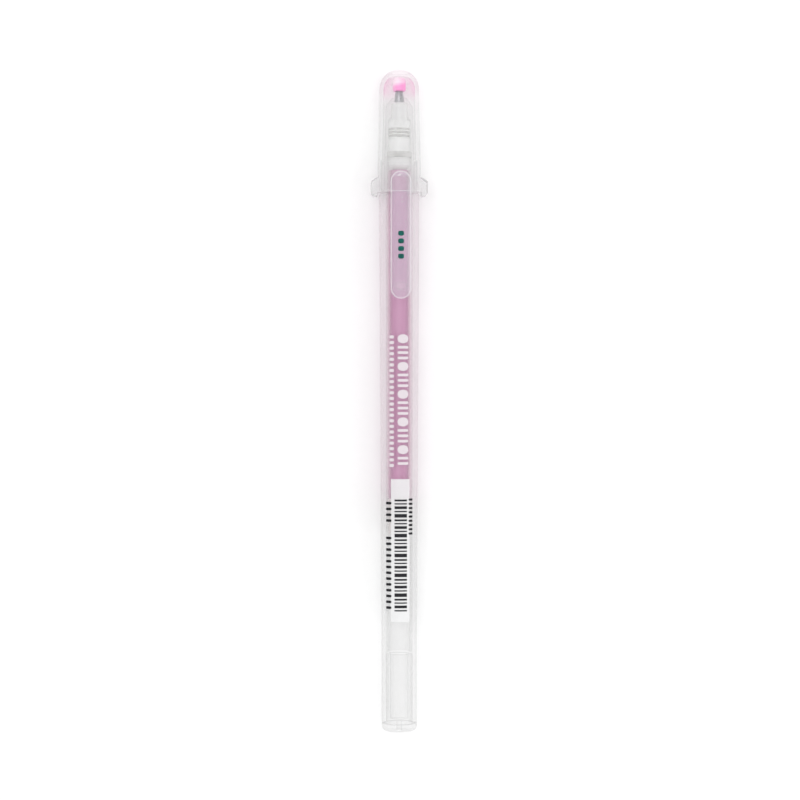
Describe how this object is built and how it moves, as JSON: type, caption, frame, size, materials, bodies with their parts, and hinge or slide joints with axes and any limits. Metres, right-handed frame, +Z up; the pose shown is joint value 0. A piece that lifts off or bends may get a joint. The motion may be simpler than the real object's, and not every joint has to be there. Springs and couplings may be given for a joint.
{
  "type": "capped gel pen",
  "caption": "Clear capped gel pen with pocket clip, anti-roll lugs, steel point, ink refill and tail plug; cap pulls off along the pen.",
  "frame": {"origin": "on the surface the pen lies on, below its axis and half way along its capped length", "axes": "+Y towards the cap and point, +Z up through the pocket clip, +X to the right seen from above"},
  "size_m": [0.0126, 0.149, 0.0116],
  "materials": {
    "barrel_plastic": "clear, faintly pink from the ink, glossy",
    "clear_plastic": "clear, slightly milky, glossy",
    "frosted_plastic": "translucent, frosted",
    "steel": "turned and polished",
    "gel_ink": "wet pink gel",
    "grease": "cloudy grease",
    "label_film": "white printed film, plain",
    "seal_rubber": "soft pink elastomer"
  },
  "bodies": {
    "pen": {"barrel": "barrel_plastic", "tail_plug": "frosted_plastic", "nose_cone": "clear_plastic", "tip_holder": "frosted_plastic", "point_body": "steel", "ink_reservoir": "frosted_plastic", "ink_column": "gel_ink", "label": "label_film"},
    "cap": {"cap": "clear_plastic", "cap_seal": "seal_rubber"},
    "writing_ball": {"writing_ball": "steel"},
    "valve_ball": {"valve_ball": "steel"},
    "follower": {"ink_follower": "grease"}
  },
  "joints": [
    {"name": "cap_pull", "type": "slide", "parent": "pen", "child": "cap", "axis": [0, 1, 0], "range_m": [0, 0.052]},
    {"name": "ball_roll", "type": "hinge", "parent": "pen", "child": "writing_ball", "pos_m": [0, 0.07165, 0.00485], "axis": [1, 0, 0], "continuous": true},
    {"name": "valve_lift", "type": "slide", "parent": "pen", "child": "valve_ball", "axis": [0, 1, 0], "range_m": [0, 0.0022]},
    {"name": "ink_use", "type": "slide", "parent": "pen", "child": "follower", "axis": [0, 1, 0], "range_m": [0, 0.068], "deforming": ["ink_column"]}
  ]
}
